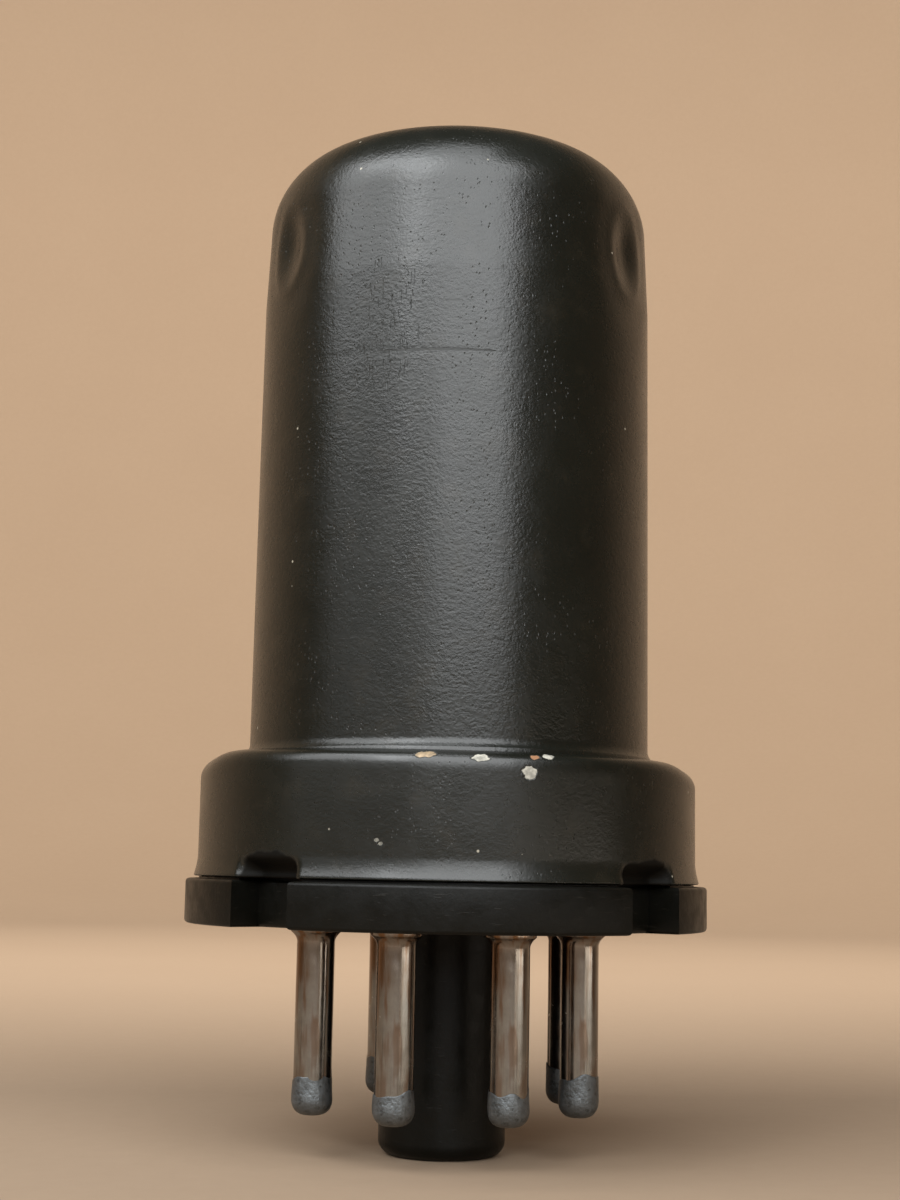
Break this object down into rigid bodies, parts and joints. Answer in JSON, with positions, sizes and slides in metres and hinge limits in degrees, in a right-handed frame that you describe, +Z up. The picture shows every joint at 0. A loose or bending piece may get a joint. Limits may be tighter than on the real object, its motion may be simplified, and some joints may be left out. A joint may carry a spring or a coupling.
{
  "type": "vacuum tube",
  "caption": "Metal-shell vacuum tube with a plug-in octal base: painted can, crimped collar, phenolic wafer, keyed spigot and contact pins.",
  "frame": {"origin": "centre of the flat end of the locating spigot, the lowest point of the tube", "axes": "+Z up the tube's axis towards the dome, +Y towards the spigot's key, so pins 1 and 8 stand either side of +Y"},
  "size_m": [0.0324, 0.0324, 0.0636],
  "materials": {
    "shell_paint": "semi-gloss black stoving enamel with fine orange peel on drawn steel",
    "collar_paint": "semi-gloss black enamel on sheet steel, with small chips",
    "phenolic": "satin black moulded phenolic",
    "plated_brass": "nickel-plated brass, worn to a warm tone near the roots",
    "solder": "dull grey tin-lead solder",
    "header_steel": "bright sheet steel",
    "stem_glass": "pressed glass button",
    "exhaust_copper": "soft copper, pinched off",
    "nickel": "drawn nickel wire and strip",
    "lead_wire": "copper-sheathed lead-in wire",
    "mica": "clear amber mica sheet",
    "carbonised_nickel": "matt black carbonised nickel",
    "oxide_white": "white sprayed oxide"
  },
  "bodies": {
    "root": {"anode": "carbonised_nickel", "anode_rod_1": "nickel", "anode_rod_2": "nickel", "base_wafer": "phenolic", "cathode": "oxide_white", "collar": "collar_paint", "control_grid": "nickel", "exhaust_tube": "exhaust_copper", "getter_cup": "nickel", "getter_wire": "nickel", "header": "header_steel", "heater": "oxide_white", "lead_1": "lead_wire", "lead_2": "lead_wire", "lead_3": "lead_wire", "lead_4": "lead_wire", "lead_5": "lead_wire", "lead_6": "lead_wire", "lead_7": "lead_wire", "lead_8": "lead_wire", "lower_mica": "mica", "mount_post_1": "header_steel", "mount_post_2": "header_steel", "pin_1": "plated_brass", "pin_2": "plated_brass", "pin_3": "plated_brass", "pin_4": "plated_brass", "pin_5": "plated_brass", "pin_6": "plated_brass", "pin_7": "plated_brass", "pin_8": "plated_brass", "screen_grid": "nickel", "shell": "shell_paint", "solder_tip_1": "solder", "solder_tip_2": "solder", "solder_tip_3": "solder", "solder_tip_4": "solder", "solder_tip_5": "solder", "solder_tip_6": "solder", "solder_tip_7": "solder", "solder_tip_8": "solder", "stem_glass": "stem_glass", "stem_shield": "header_steel", "suppressor_grid": "nickel", "upper_mica": "mica"}
  },
  "joints": []
}
